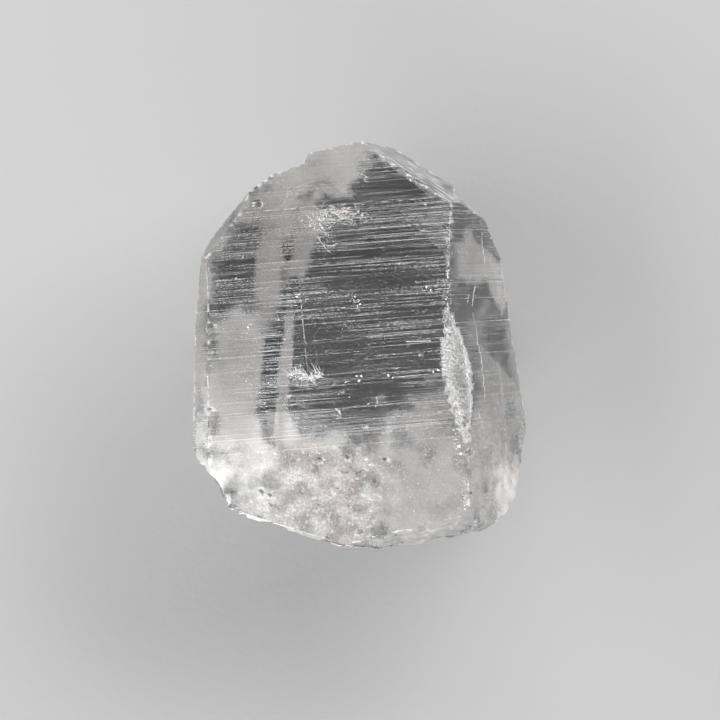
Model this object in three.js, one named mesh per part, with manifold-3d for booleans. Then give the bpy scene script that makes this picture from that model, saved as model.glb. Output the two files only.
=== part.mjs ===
// A Lemurian quartz crystal, broken off at its base and lying on one prism face.
// Millimetres, +Z up, +Y towards the tip. The origin is under the middle of the crystal's box,
// on the surface that it lies on.
//
// The crystal is one solid. A block is cut by the planes of the crystal's faces, which keep
// close to the angles that quartz grows at. Then growth ledges are cut into the prism faces,
// and shell-shaped flakes are taken from the broken base and from the worn edges.

import * as THREE from "three";
import { mergeVertices } from "three/addons/utils/BufferGeometryUtils.js";
import Module from "manifold-3d";

const wasm = await Module();
wasm.setup();

// --- Driving dimensions: millimetres and degrees ---

const THICKNESS = 26; // from the face that it lies on to the front face
const AXIS_LEAN = 4.5; // how far the crystal's axis turns from +Y towards -X
const RHOMB_RISE = 38.2; // from a prism face's normal to that of the rhombohedral face above it
const BLOCK = 140; // edge of the blocks that cut a plane

// Each face of the crystal: azimuth about the axis from +Z towards +X, rise of its normal
// towards the tip, and distance of its plane from the middle of the back face.
const FACES = {
  front: { azimuth: 0, rise: 0, distance: THICKNESS },
  frontRight: { azimuth: 60, rise: -2.9, distance: 25.24 },
  right: { azimuth: 68.5, rise: -0.1, distance: 23 },
  backRight: { azimuth: 120, rise: 11, distance: 14.1 },
  back: { azimuth: 180, rise: 0, distance: 0 },
  backLeft: { azimuth: -120, rise: 6.5, distance: 8.15 },
  backLeftUpper: { azimuth: -120, rise: 14.4, distance: 8.7 },
  frontLeft: { azimuth: -60, rise: 3.8, distance: 30.5 },
  tipFront: { azimuth: 0, rise: RHOMB_RISE, distance: 31.8 },
  tipFrontLeft: { azimuth: -60, rise: RHOMB_RISE, distance: 31.7 },
  tipBackLeft: { azimuth: -120, rise: 40.6, distance: 14.1 },
  tipBackRight: { azimuth: 120, rise: RHOMB_RISE, distance: 16.2 },
  tipShoulder: { azimuth: 60, rise: 53.9, distance: 29.2 },
};

// Each plane of a break: heading of its normal from +X in the XY plane, how far the normal
// dips below level, and distance of its plane from the middle of the back face.
const BASE_BREAK = [
  { heading: -150.3, dip: 15, distance: 18.5 },
  { heading: -107.8, dip: 28, distance: 11.2 },
  { heading: -112.8, dip: 30, distance: 10.45 },
  { heading: -89, dip: 32, distance: 11.4 },
  { heading: -74, dip: 49, distance: 7.5 },
  { heading: -80, dip: 15, distance: 20.8 },
  { heading: -60, dip: 15, distance: 24.4 },
  { heading: -47, dip: 15, distance: 25.5 },
  { heading: -35, dip: 10, distance: 27.1 },
  { heading: -15, dip: 0, distance: 26.4 },
];
const BASE_RIM = [
  { heading: -107.8, dip: -50, distance: 36.5 },
  { heading: -89, dip: -45, distance: 37.8 },
  { heading: -76, dip: -35, distance: 35.6 },
  { heading: -52, dip: -30, distance: 36.6 },
  { heading: -150, dip: -50, distance: 36.3 },
];
const TIP_WEAR = [
  { heading: 105.5, dip: 20, distance: 19 },
  { heading: 80, dip: 10, distance: 25 },
];

// --- Directions ---

const lean = THREE.MathUtils.degToRad(AXIS_LEAN);
const AXIS = new THREE.Vector3(-Math.sin(lean), Math.cos(lean), 0);
const ACROSS = new THREE.Vector3(Math.cos(lean), Math.sin(lean), 0);
const UP = new THREE.Vector3(0, 0, 1);

/** The outward normal of a crystal face. */
function faceNormal({ azimuth, rise }) {
  const a = THREE.MathUtils.degToRad(azimuth);
  const r = THREE.MathUtils.degToRad(rise);
  const level = ACROSS.clone().multiplyScalar(Math.sin(a)).addScaledVector(UP, Math.cos(a));
  return level.multiplyScalar(Math.cos(r)).addScaledVector(AXIS, Math.sin(r));
}

/** The outward normal of a plane of a break. */
function breakNormal({ heading, dip }) {
  const h = THREE.MathUtils.degToRad(heading);
  const d = THREE.MathUtils.degToRad(dip);
  return new THREE.Vector3(Math.cos(d) * Math.cos(h), Math.cos(d) * Math.sin(h), -Math.sin(d));
}

// --- Solids from three.js geometry ---

/** A closed three.js geometry, placed by a matrix, as a manifold-3d solid. */
function solidOf(geometry, matrix = new THREE.Matrix4()) {
  const placed = geometry.clone().applyMatrix4(matrix);
  placed.deleteAttribute("normal");
  placed.deleteAttribute("uv");
  const merged = mergeVertices(placed, 1e-4);
  return new wasm.Manifold(
    new wasm.Mesh({
      numProp: 3,
      vertProperties: new Float32Array(merged.attributes.position.array),
      triVerts: new Uint32Array(merged.index.array),
    }),
  );
}

/** A manifold-3d solid as a three.js geometry. */
function geometryOf(solid) {
  const mesh = solid.getMesh();
  const geometry = new THREE.BufferGeometry();
  geometry.setAttribute("position", new THREE.BufferAttribute(new Float32Array(mesh.vertProperties), 3));
  geometry.setIndex(new THREE.BufferAttribute(new Uint32Array(mesh.triVerts), 1));
  return geometry;
}

/** The block of everything outside a plane, for cutting a flat face. */
function outsideOf(normal, distance) {
  const turn = new THREE.Quaternion().setFromUnitVectors(UP, normal);
  const centre = normal.clone().multiplyScalar(distance + BLOCK / 2);
  const place = new THREE.Matrix4().compose(centre, turn, new THREE.Vector3(1, 1, 1));
  return solidOf(new THREE.BoxGeometry(BLOCK, BLOCK, BLOCK), place);
}

/** Everything outside all of a list of planes, for cutting a notch with flat sides. */
function outsideAll(planes) {
  return planes
    .map((plane) => outsideOf(breakNormal(plane), plane.distance))
    .reduce((corner, block) => corner.intersect(block));
}

/** A number from 0 to 1 that is always the same for the same seed. */
function chance(seed) {
  const wave = Math.sin(seed * 12.9898) * 43758.5453;
  return wave - Math.floor(wave);
}

/** A rounded, slightly lumpy stone shape: what a flake leaves when it is knocked out. */
function flake({ centre, radii, turn = new THREE.Quaternion(), detail = 3, lump = 0.06, seed = 1 }) {
  const geometry = new THREE.IcosahedronGeometry(1, detail);
  const position = geometry.attributes.position;
  const v = new THREE.Vector3();
  for (let i = 0; i < position.count; i++) {
    v.fromBufferAttribute(position, i);
    const waves = [5 * v.x + seed, 6 * v.y + 2.1 * seed, 7 * v.z + 3.3 * seed];
    const wave = waves.reduce((sum, angle) => sum + Math.sin(angle), 0);
    v.multiplyScalar(1 + (lump * wave) / 3);
    position.setXYZ(i, v.x, v.y, v.z);
  }
  return solidOf(geometry, new THREE.Matrix4().compose(centre, turn, radii));
}

// --- The body: prism, tip and break ---

const LAMELLA = [
  { heading: 0, dip: 0, distance: -20.7 }, // the thin left edge of the prism runs on past the break
  { heading: -90, dip: 0, distance: 15.9 },
  { heading: -145, dip: 0, distance: 26.6 },
];

// On the right the crystal steps in above the bruise on its front edge.
const STEP_IN = {
  face: { azimuth: 60, rise: -4.5, distance: 23 },
  riser: { heading: 18, dip: -20, distance: 20.8 },
};

const NOTCHES = [
  [
    { heading: 116, dip: 25, distance: 14.5 }, // the tip steps down to its left shoulder
    { heading: 165, dip: 10, distance: 10 },
  ],
  [
    { heading: 49.6, dip: -7.2, distance: 26.2 }, // worn corner at the top of the right face
    { heading: 0, dip: 0, distance: 12.9 },
  ],
];

function cutBy(solid, planes) {
  return planes.reduce((left, p) => left.subtract(outsideOf(breakNormal(p), p.distance)), solid);
}

function crystalBody() {
  let grown = solidOf(new THREE.BoxGeometry(BLOCK, BLOCK, BLOCK));
  for (const face of Object.values(FACES)) {
    grown = grown.subtract(outsideOf(faceNormal(face), face.distance));
  }
  const stepIn = outsideOf(faceNormal(STEP_IN.face), STEP_IN.face.distance).intersect(
    outsideOf(breakNormal(STEP_IN.riser), STEP_IN.riser.distance),
  );
  const body = cutBy(cutBy(grown, [...BASE_BREAK, ...BASE_RIM]).add(cutBy(grown, LAMELLA)), TIP_WEAR);
  return NOTCHES.reduce((left, planes) => left.subtract(outsideAll(planes)), body.subtract(stepIn));
}

// --- Growth ledges: low steps straight across each prism face ---

const REACH = 32; // how far the ledges go along a face, either side of its middle
const RISER_RUN = 1.2; // run of a ledge's riser for each unit of its height

// The front face drops by these ledges towards the tip, at these places along it.
const FRONT_TERRACES = [
  { at: -10.6, drop: 0.12 },
  { at: 7.4, drop: 0.07 },
  { at: 9.3, drop: 0.1 },
  { at: 11.1, drop: 0.16 },
  { at: 15.6, drop: 0.08 },
];

const CALM_BELOW = -13; // near the break the two front faces have no ledges

// How far apart and how deep the fine ledges are on each ledged face.
const LEDGED = [
  { face: FACES.front, pitch: 0.8, depth: 0.09, terraces: FRONT_TERRACES, seed: 11, from: CALM_BELOW },
  { face: FACES.frontRight, pitch: 1.5, depth: 0.08, terraces: [], seed: 23, from: CALM_BELOW },
  { face: STEP_IN.face, pitch: 1.5, depth: 0.08, terraces: [], seed: 37, from: 3.4 },
  { face: FACES.right, pitch: 1.9, depth: 0.1, terraces: [], seed: 53 },
  { face: FACES.backRight, pitch: 1.3, depth: 0.12, terraces: [], seed: 67 },
  { face: FACES.backLeft, pitch: 1.6, depth: 0.1, terraces: [], seed: 79 },
  { face: FACES.backLeftUpper, pitch: 1.6, depth: 0.1, terraces: [], seed: 83 },
  { face: FACES.frontLeft, pitch: 1.7, depth: 0.06, terraces: [], seed: 97 },
];

/** Places a shape drawn as (along the face, out of the face) and extruded across the face. */
function faceFrame(face, across = 0) {
  const out = faceNormal(face);
  const along = AXIS.clone().addScaledVector(out, -AXIS.dot(out)).normalize();
  const side = along.clone().cross(out);
  const foot = out.clone().multiplyScalar(face.distance).addScaledVector(side, across);
  return new THREE.Matrix4().makeBasis(along, out, side).setPosition(foot);
}

/** What is removed from a face to leave it stepped in ledges. */
function ledgeCutter({ face, pitch, depth, terraces, seed, from = -REACH }) {
  const outline = new THREE.Shape();
  outline.moveTo(from, 1);
  let at = from;
  let level = 0;
  for (let i = 0; at < REACH; i++) {
    outline.lineTo(at, level);
    const dropped = terraces.reduce((sum, t) => sum + (t.at < at ? t.drop : 0), 0);
    const next = -dropped - depth * chance(seed + i) ** 1.5;
    const run = RISER_RUN * Math.abs(next - level) + 0.02;
    outline.lineTo(at + run, next);
    at += run + pitch * (0.35 + 1.3 * chance(seed + 0.5 + i));
    level = next;
  }
  outline.lineTo(at, level);
  outline.lineTo(at, 1);
  const geometry = new THREE.ExtrudeGeometry(outline, { depth: BLOCK, bevelEnabled: false });
  return solidOf(geometry.translate(0, 0, -BLOCK / 2), faceFrame(face));
}

// Short furrows between the ledges of the front face, each as long as it is for a while only.
const FURROWS = { count: 40, length: [3, 13], width: [0.1, 0.24], depth: 0.14, seed: 7 };

function furrow(i) {
  const { length, width, depth, seed } = FURROWS;
  const mix = (range, k) => THREE.MathUtils.lerp(range[0], range[1], chance(seed + k + i * 3.7));
  const geometry = new THREE.CylinderGeometry(mix(width, 1), mix(width, 1), mix(length, 2), 4);
  geometry.rotateX(Math.PI / 2).scale(1, 0.6, 1);
  const along = THREE.MathUtils.lerp(-12, 15, chance(seed + i * 1.9));
  const across = THREE.MathUtils.lerp(-10, 19, chance(seed + 0.3 + i * 2.3));
  geometry.translate(along, -depth * 0.5, 0);
  return solidOf(geometry, faceFrame(FACES.front, across));
}

// --- Damage: the bruised edge, chips, pits and the shell-shaped flakes of the break ---

// The bruise is a long shallow scoop that lies along the edge of the front face, with crushed
// pockets in it.
const BRUISE = {
  centre: new THREE.Vector3(13.0, -3.6, 25.6),
  radii: new THREE.Vector3(1.45, 8.0, 1.0),
  slope: 24, // down towards the right
  heading: 7.5, // of its length, from +Y towards -X
};
const POCKETS = { count: 18, radius: [0.4, 0.95], spread: 1.2, seed: 41 };

// Flakes of the break: where they are as seen from the base, their radius and their depth.
const BASE_FLAKES = [
  { x: -15, z: 16, radius: 13, depth: 1.3 },
  { x: -5, z: 19, radius: 17, depth: 1.3 },
  { x: 7, z: 14, radius: 19, depth: 1.5 },
  { x: 16, z: 14, radius: 12, depth: 1.1 },
  { x: -9, z: 8, radius: 12, depth: 1.2 },
  { x: 1, z: 5, radius: 13, depth: 1.3 },
  { x: 13, z: 5, radius: 10, depth: 1.1 },
  { x: -1, z: 11.5, radius: 9, depth: 0.9 },
  { x: 8, z: 6.5, radius: 6, depth: 0.8 },
  { x: 19, z: 7, radius: 7, depth: 0.8 },
  { x: -12.5, z: 21.5, radius: 7, depth: 0.6 },
  { x: 2, z: 21.5, radius: 8, depth: 0.5 },
  { x: 10, z: 20, radius: 7, depth: 0.5 },
  { x: -19, z: 20, radius: 5, depth: 0.4 },
  { x: -11.7, z: 25.2, radius: 2.6, depth: 0.45 },
  { x: -8.6, z: 25, radius: 1.6, depth: 0.4 },
  { x: -4.9, z: 24.6, radius: 2, depth: 0.4 },
  { x: 13.8, z: 20.5, radius: 2.4, depth: 0.5 },
  { x: 18.2, z: 17, radius: 2, depth: 0.45 },
];

// Pits and chips on the front: middle of each, and its half width, half length and depth.
const PITS = [
  { at: [-13.6, 18.8, 24.4], size: [0.75, 0.6, 0.6] },
  { at: [-13.1, -19.6, 26], size: [0.5, 0.35, 0.3] },
  { at: [-12, -19.9, 26], size: [0.3, 0.25, 0.3] },
  { at: [-1.7, -14.9, 26], size: [0.35, 0.25, 0.25] },
  { at: [3.3, -15.2, 26], size: [0.4, 0.3, 0.25] },
  { at: [0.2, -17, 26], size: [0.9, 0.4, 0.22] },
  { at: [-5.4, -15.2, 26], size: [0.3, 0.3, 0.25] },
  { at: [0.7, 23, 22.9], size: [0.25, 0.7, 0.3] },
  { at: [11.8, 14, 25.8], size: [0.25, 0.4, 0.4] },
  { at: [11.7, 6.6, 25.9], size: [0.3, 0.6, 0.4] },
  { at: [14.4, -14.2, 25.6], size: [0.5, 0.8, 0.5] },
  { at: [14.6, -19.6, 25.5], size: [0.3, 0.6, 0.4] },
  { at: [7.6, 22.3, 22.9], size: [0.5, 0.35, 0.35] },
  { at: [-20.3, 2.5, 25.9], size: [0.3, 1.1, 0.4] },
  { at: [-20.3, -8.4, 25.9], size: [0.35, 0.8, 0.45] },
];

/** The point of the base break at a place seen from the base, and the normal of its plane. */
function onBreak({ x, z }) {
  const hits = BASE_BREAK.map((plane) => {
    const normal = breakNormal(plane);
    const y = (plane.distance - normal.x * x - normal.z * z) / normal.y;
    return { point: new THREE.Vector3(x, y, z), normal };
  });
  return hits.reduce((a, b) => (b.point.y > a.point.y ? b : a));
}

function baseFlake(spec, i) {
  const { point, normal } = onBreak(spec);
  const centre = point.addScaledVector(normal, spec.radius - spec.depth);
  const radii = new THREE.Vector3(spec.radius, spec.radius, spec.radius);
  return flake({ centre, radii, detail: Math.round(4 + spec.radius / 3), lump: 0.03, seed: i + 2 });
}

function pit({ at, size }, i) {
  const turn = new THREE.Quaternion().setFromAxisAngle(UP, chance(i) * 2);
  const centre = new THREE.Vector3(...at);
  return flake({ centre, radii: new THREE.Vector3(...size), turn, detail: 1, seed: i });
}

const bruiseTurn = new THREE.Quaternion()
  .setFromAxisAngle(UP, THREE.MathUtils.degToRad(BRUISE.heading))
  .multiply(
    new THREE.Quaternion().setFromAxisAngle(
      new THREE.Vector3(0, 1, 0),
      THREE.MathUtils.degToRad(BRUISE.slope),
    ),
  );

function bruise() {
  return flake({ ...BRUISE, turn: bruiseTurn, detail: 8, lump: 0.05, seed: 5 });
}

/** A crushed pocket, somewhere along the bruise and near its middle line. */
function pocket(i) {
  const { count, radius, spread, seed } = POCKETS;
  const along = (2 * (i + chance(seed + i))) / count - 1;
  const across = spread * (chance(seed + 0.7 + i) - 0.5) * Math.sqrt(1 - along ** 2);
  const place = new THREE.Vector3(across, along, -0.35).multiply(BRUISE.radii);
  const r = THREE.MathUtils.lerp(radius[0], radius[1], chance(seed + 0.2 + i));
  return flake({
    centre: place.applyQuaternion(bruiseTurn).add(BRUISE.centre),
    radii: new THREE.Vector3(r, 1.3 * r, 0.6 * r),
    turn: bruiseTurn,
    detail: 2,
    lump: 0.12,
    seed: i,
  });
}

const cutters = [
  ...LEDGED.map(ledgeCutter),
  ...Array.from({ length: FURROWS.count }, (_, i) => furrow(i)),
  ...BASE_FLAKES.map(baseFlake),
  ...PITS.map(pit),
  bruise(),
  ...Array.from({ length: POCKETS.count }, (_, i) => pocket(i)),
];
const cut = cutters.reduce((left, cutter) => left.subtract(cutter), crystalBody());
// Crumbs that the cuts leave loose are dropped.
const crystal = cut.decompose().reduce((a, b) => (b.volume() > a.volume() ? b : a));

const material = new THREE.MeshStandardMaterial({
  name: "clear_quartz",
  color: 0xe9e6e4,
  roughness: 0.08,
  metalness: 0,
  transparent: true,
  opacity: 0.4,
});

// The origin goes under the middle of the crystal's box.
const geometry = geometryOf(crystal);
geometry.computeBoundingBox();
const middle = geometry.boundingBox.getCenter(new THREE.Vector3());
geometry.translate(-middle.x, -middle.y, -geometry.boundingBox.min.z);

const mesh = new THREE.Mesh(geometry, material);
mesh.name = "crystal";

const part = new THREE.Group();
part.name = "lemurian_quartz_crystal";
part.add(mesh);

export default part;
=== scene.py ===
# %% [markdown]
# # A Lemurian quartz crystal
#
# The crystal is one clear piece, about 55 mm long, broken off at its base. It lies on a flat
# prism face on a pale studio floor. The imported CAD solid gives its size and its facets. This
# lesson adds what the eye finds next: hair-fine growth ledges, the rough break, the crushed
# edge, milky veils inside and a glass that bends and dims the light.

import math
import random
from bisect import bisect_right

import bmesh
import bpy
import numpy as np
from mathutils import Matrix, Vector, noise
from mathutils.bvhtree import BVHTree


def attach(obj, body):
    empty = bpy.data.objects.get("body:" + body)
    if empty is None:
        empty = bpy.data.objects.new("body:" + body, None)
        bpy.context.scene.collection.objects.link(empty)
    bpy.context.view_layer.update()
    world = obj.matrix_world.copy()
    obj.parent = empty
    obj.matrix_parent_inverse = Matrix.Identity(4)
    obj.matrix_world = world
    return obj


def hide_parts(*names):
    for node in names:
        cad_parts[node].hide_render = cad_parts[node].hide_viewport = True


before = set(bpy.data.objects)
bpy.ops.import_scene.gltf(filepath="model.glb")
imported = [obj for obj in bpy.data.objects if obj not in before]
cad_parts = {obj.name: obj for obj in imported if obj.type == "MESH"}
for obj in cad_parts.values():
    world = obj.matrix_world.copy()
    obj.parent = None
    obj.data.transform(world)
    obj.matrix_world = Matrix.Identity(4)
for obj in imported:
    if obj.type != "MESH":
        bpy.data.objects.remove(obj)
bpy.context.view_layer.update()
MM = 0.001

# %% [markdown]
# ## The camera
#
# The crystal is looked at from straight above, so the camera sits over its front face and
# points down. A long lens from a third of a metre away keeps the edges nearly parallel. A
# camera with no turn of its own already looks along -Z with +Y up, which is all we need.

# %% Look straight down with a long lens
FRONT_Z = 26 * MM
CAMERA_HEIGHT = 347 * MM
FRAME_WIDTH = 95.9 * MM
# The middle of the view lies a little left of the origin and towards the break.
VIEW_MIDDLE = (-0.48 * MM, -2.13 * MM)

camera = bpy.data.objects.new("camera", bpy.data.cameras.new("camera"))
camera.location = (*VIEW_MIDDLE, FRONT_Z + CAMERA_HEIGHT)
camera.data.lens = camera.data.sensor_width * CAMERA_HEIGHT / FRAME_WIDTH
camera.data.clip_start = 0.01
bpy.context.scene.collection.objects.link(camera)
bpy.context.scene.camera = camera
print("lens in mm:", round(camera.data.lens, 1))

# %% [markdown]
# ## The floor
#
# A pale matte floor that curls up at its rim, like a very large shallow dish. The rim hides
# the horizon when the crystal is seen from low down. Half the dish's outline is spun about Z.

# %% Spin a dish for the floor
FLOOR_RADIUS = 0.55
RIM_RADIUS = 0.5
RIM_STEPS = 24
RIM_TURN = 0.34 * math.pi
FLOOR_STEPS = 96
FLOOR_GAP = 0.03 * MM


def spun(name, outline, steps):
    """A surface of revolution about Z from a list of (radius, height) points."""
    shape = bmesh.new()
    points = [shape.verts.new((radius, 0, height)) for radius, height in outline]
    lines = [shape.edges.new(pair) for pair in zip(points, points[1:])]
    bmesh.ops.spin(
        shape,
        geom=points + lines,
        cent=(0, 0, 0),
        axis=(0, 0, 1),
        angle=math.tau,
        steps=steps,
        use_merge=True,
    )
    bmesh.ops.remove_doubles(shape, verts=shape.verts[:], dist=1e-6)
    bmesh.ops.recalc_face_normals(shape, faces=shape.faces[:])
    mesh = bpy.data.meshes.new(name)
    shape.to_mesh(mesh)
    shape.free()
    return mesh


rim_outline = [
    (FLOOR_RADIUS + RIM_RADIUS * math.sin(turn), RIM_RADIUS * (1 - math.cos(turn)))
    for turn in (step / RIM_STEPS * RIM_TURN for step in range(RIM_STEPS + 1))
]
floor_mesh = spun("floor", [(0, 0)] + rim_outline, FLOOR_STEPS)
floor_mesh.transform(Matrix.Translation((0, 0, -FLOOR_GAP)))
for face in floor_mesh.polygons:
    face.use_smooth = True
floor = bpy.data.objects.new("floor", floor_mesh)
bpy.context.scene.collection.objects.link(floor)
print("floor faces:", len(floor_mesh.polygons))

# %% [markdown]
# ## Building a material from nodes
#
# Each finish below is a small chain of nodes. Two helpers keep the chains readable: one makes
# a node with its settings, the other joins sockets. Patterns read Object coordinates, so they
# stay on the crystal whichever way it is looked at.

# %% Helpers that make and join nodes
def new_material(name):
    """A material with an empty tree and its output node."""
    material = bpy.data.materials.new(name)
    material.use_nodes = True
    tree = material.node_tree
    tree.nodes.clear()
    return material, tree, tree.nodes.new("ShaderNodeOutputMaterial")


def node(tree, kind, inputs=None, **settings):
    """A node with its settings, and its inputs set to values or joined to sockets."""
    made = tree.nodes.new("ShaderNode" + kind)
    for name, value in settings.items():
        setattr(made, name, value)
    for name, value in (inputs or {}).items():
        if isinstance(value, bpy.types.NodeSocket):
            tree.links.new(value, made.inputs[name])
        else:
            made.inputs[name].default_value = value
    return made


def maths(tree, operation, a, b, clamp=False):
    """The result of one Math node."""
    return node(tree, "Math", {0: a, 1: b}, operation=operation, use_clamp=clamp).outputs[0]


def ramp(tree, value, low, high, to_low=0.0, to_high=1.0):
    """value, stretched smoothly so that low becomes to_low and high becomes to_high."""
    inputs = {"Value": value, 1: low, 2: high, 3: to_low, 4: to_high}
    return node(tree, "MapRange", inputs, interpolation_type="SMOOTHSTEP").outputs[0]


# %% Paint the floor
FLOOR_GREY = 0.4


def floor_finish():
    """Matte paper, with a faint tooth."""
    material, tree, out = new_material("studio_paper")
    place = node(tree, "TexCoord").outputs["Object"]
    tooth = node(tree, "TexNoise", {"Vector": place, "Scale": 900.0, "Detail": 1.0})
    bump = node(tree, "Bump", {"Height": tooth.outputs[0], "Strength": 0.03, "Distance": 0.001})
    grey = (FLOOR_GREY, FLOOR_GREY, FLOOR_GREY, 1)
    paper = node(
        tree,
        "BsdfPrincipled",
        {"Base Color": grey, "Roughness": 0.9, "Normal": bump.outputs[0]},
    )
    tree.links.new(paper.outputs[0], out.inputs["Surface"])
    return material


floor_mesh.materials.append(floor_finish())
print("floor grey:", FLOOR_GREY)

# %% [markdown]
# ## The lights
#
# Clear crystal shows what surrounds it, so the light has to come from the sides, and the
# space above stays dim: a light up there would be mirrored in the front face. Softboxes stand
# low on the left, at the back right and before the break. A weaker one stands beyond the tip,
# to catch the growth ledges. Light is turned back many times inside the crystal, so its paths
# may be long.

# %% Stand softboxes round the crystal
AIM = Vector((0, 0, 12 * MM))
# Each softbox: name, place and size in metres, and power in watts.
SOFTBOXES = [
    ("left_softbox", (-0.45, -0.05, 0.26), (0.6, 0.3), 2.6),
    ("right_softbox", (0.38, 0.34, 0.3), (0.45, 0.3), 3.8),
    ("base_softbox", (-0.08, -0.42, 0.13), (0.6, 0.2), 2.5),
    ("tip_softbox", (0.0, 0.5, 0.36), (0.5, 0.3), 1.8),
]


def softbox(name, place, size, power):
    """A rectangular area light at place, turned to face the crystal."""
    light = bpy.data.lights.new(name, "AREA")
    light.shape = "RECTANGLE"
    light.size, light.size_y = size
    light.energy = power
    lamp = bpy.data.objects.new(name, light)
    lamp.location = place
    lamp.rotation_euler = (AIM - Vector(place)).to_track_quat("-Z", "Y").to_euler()
    bpy.context.scene.collection.objects.link(lamp)


for name, place, size, power in SOFTBOXES:
    softbox(name, place, size, power)

# %% Dim the room and let light bounce inside the crystal
WORLD_GREY = 0.16
BOUNCES = 12
world = bpy.data.worlds.new("dim_room")
world.use_nodes = True
world.node_tree.nodes["Background"].inputs["Color"].default_value = (1, 1, 1, 1)
world.node_tree.nodes["Background"].inputs["Strength"].default_value = WORLD_GREY
bpy.context.scene.world = world
bpy.context.scene.view_settings.view_transform = "Standard"
paths = bpy.context.scene.cycles
paths.max_bounces = BOUNCES
paths.transparent_max_bounces = BOUNCES
paths.transmission_bounces = BOUNCES
paths.glossy_bounces = BOUNCES // 2
print("bounces:", BOUNCES)

# %% [markdown]
# ## The crystal's own directions
#
# Growth ledges run straight across the crystal's axis. The axis lies level and leans a little
# to the left, so we measure every point along the axis and across it.

# %% Measure along and across the axis
AXIS_LEAN = math.radians(4.5)
ALONG = Vector((-math.sin(AXIS_LEAN), math.cos(AXIS_LEAN), 0))
ACROSS = Vector((math.cos(AXIS_LEAN), math.sin(AXIS_LEAN), 0))
UP = Vector((0, 0, 1))


def span(direction, mesh):
    """How far the mesh reaches along a direction, lowest and highest."""
    reach = [v.co.dot(direction) for v in mesh.vertices]
    return min(reach), max(reach)


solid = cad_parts["crystal"].data
along_span, across_span = span(ALONG, solid), span(ACROSS, solid)
print("length along the axis in mm:", round((along_span[1] - along_span[0]) / MM, 2))

# %% [markdown]
# ## Which face is which
#
# A crystal's faces keep to a few directions, so the direction of a facet says where it
# belongs. Its azimuth is its turn about the axis, from straight up towards the right, and its
# rise is how far it tips towards the point. Whatever looks back down the axis near the base
# is broken. The riser of a CAD ledge is a long narrow strip, and it belongs to the face that
# it steps down. Each facet is named while it is still whole, and its name is kept in a
# numbered layer, so that all the pieces cut from it inherit it.

# %% Name each facet by its direction
KINDS = ["front", "left", "back_left", "back", "back_right", "right", "tip", "broken"]
# Where one kind ends and the next begins: rise, then azimuth, in degrees.
BREAK_RISE = -14
TIP_RISE = 24
FRONT_TO = 32
LEFT_TO = -90
RIGHT_TO = 95
BACK_FROM = 155
BREAK_STARTS = -8 * MM
STRIP_WIDTH = 0.4 * MM
STRIP_LENGTH = 1.5 * MM
# Triangles that differ by less than this are one facet.
SAME_FACET = math.radians(0.2)


def facing(normal):
    """Azimuth about the axis and rise towards the tip, in degrees."""
    azimuth = math.degrees(math.atan2(normal.dot(ACROSS), normal.dot(UP)))
    return azimuth, math.degrees(math.asin(max(-1, min(1, normal.dot(ALONG)))))


def is_strip(face):
    """True for the long narrow riser of a ledge."""
    width = 2 * face.calc_area() / face.calc_perimeter()
    length = max(edge.calc_length() for edge in face.edges)
    return width < STRIP_WIDTH and length > STRIP_LENGTH


def face_kind(face):
    """The name in KINDS of the crystal face or break that a facet belongs to."""
    azimuth, rise = facing(face.normal)
    strip = is_strip(face)
    if rise < BREAK_RISE and face.calc_center_median().dot(ALONG) < BREAK_STARTS and not strip:
        return "broken"
    if rise > TIP_RISE and not strip:
        return "tip"
    if abs(azimuth) < FRONT_TO:
        return "front"
    if abs(azimuth) > BACK_FROM:
        return "back"
    if azimuth < 0:
        return "left" if azimuth > LEFT_TO else "back_left"
    return "right" if azimuth < RIGHT_TO else "back_right"


shape = bmesh.new()
shape.from_mesh(solid)
bmesh.ops.remove_doubles(shape, verts=shape.verts[:], dist=1e-6)
bmesh.ops.dissolve_limit(
    shape, angle_limit=SAME_FACET, verts=shape.verts[:], edges=shape.edges[:]
)
kind_layer = shape.faces.layers.int.new("kind")
for face in shape.faces:
    face[kind_layer] = KINDS.index(face_kind(face))
print("faces of the merged solid:", len(shape.faces))

# %% [markdown]
# ## Cutting the solid into fine rows
#
# A bisect plane cuts the copy again and again: first pairs of cuts straight across the axis,
# then a coarse grid. Between two pairs lies the tread of one growth ledge, and within a pair
# its riser. Each cut halves the faces that the next ones have to look at, which keeps the
# cutting quick. The face it rests on has no ledges, so the pairs leave it alone.

# %% Choose where the ledges fall
rng = random.Random(20)
LEDGE_PITCH = (0.22 * MM, 0.55 * MM)
RISER = 0.09 * MM
GRID = 0.9 * MM


def ledge_places(low, high):
    """Places along the axis where one ledge ends and the next begins."""
    places = []
    at = low + GRID
    while at < high:
        places.append(at)
        at += rng.uniform(*LEDGE_PITCH)
    return places


# A few ledges run right across the front face and show as bright lines: a white glint is painted
# on their steps.
STRONG_LEDGES = [place * MM for place in (3.2, 7.1, 9.0, 10.8, 13.4, 15.3, 18.0)]
LEDGE_ROOM = 0.16 * MM
ledges = sorted(
    [
        place
        for place in ledge_places(*along_span)
        if all(abs(place - strong) > LEDGE_ROOM for strong in STRONG_LEDGES)
    ]
    + STRONG_LEDGES
)
print("growth ledges:", len(ledges))


# %% Cut faces in rows
def around(faces):
    """The faces with their edges and corners, as bmesh operators ask for them."""
    edges = {e for f in faces for e in f.edges}
    verts = {v for f in faces for v in f.verts}
    return [*verts, *edges, *faces]


def cut_rows(shape, direction, places, faces):
    """Cuts faces across direction at each place, the middle one first and then each half."""
    if not places or not faces:
        return
    middle = len(places) // 2
    place = places[middle]
    cut = bmesh.ops.bisect_plane(
        shape, geom=around(faces), dist=1e-7, plane_co=direction * place, plane_no=direction
    )
    below, above = [], []
    for part in cut["geom"]:
        if isinstance(part, bmesh.types.BMFace):
            (below if part.calc_center_median().dot(direction) < place else above).append(part)
    cut_rows(shape, direction, places[:middle], below)
    cut_rows(shape, direction, places[middle + 1 :], above)


def steps(low, high, pitch):
    """Evenly spaced places between low and high."""
    count = int((high - low) / pitch)
    return [low + (high - low) * (i + 0.5) / count for i in range(count)]


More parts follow.
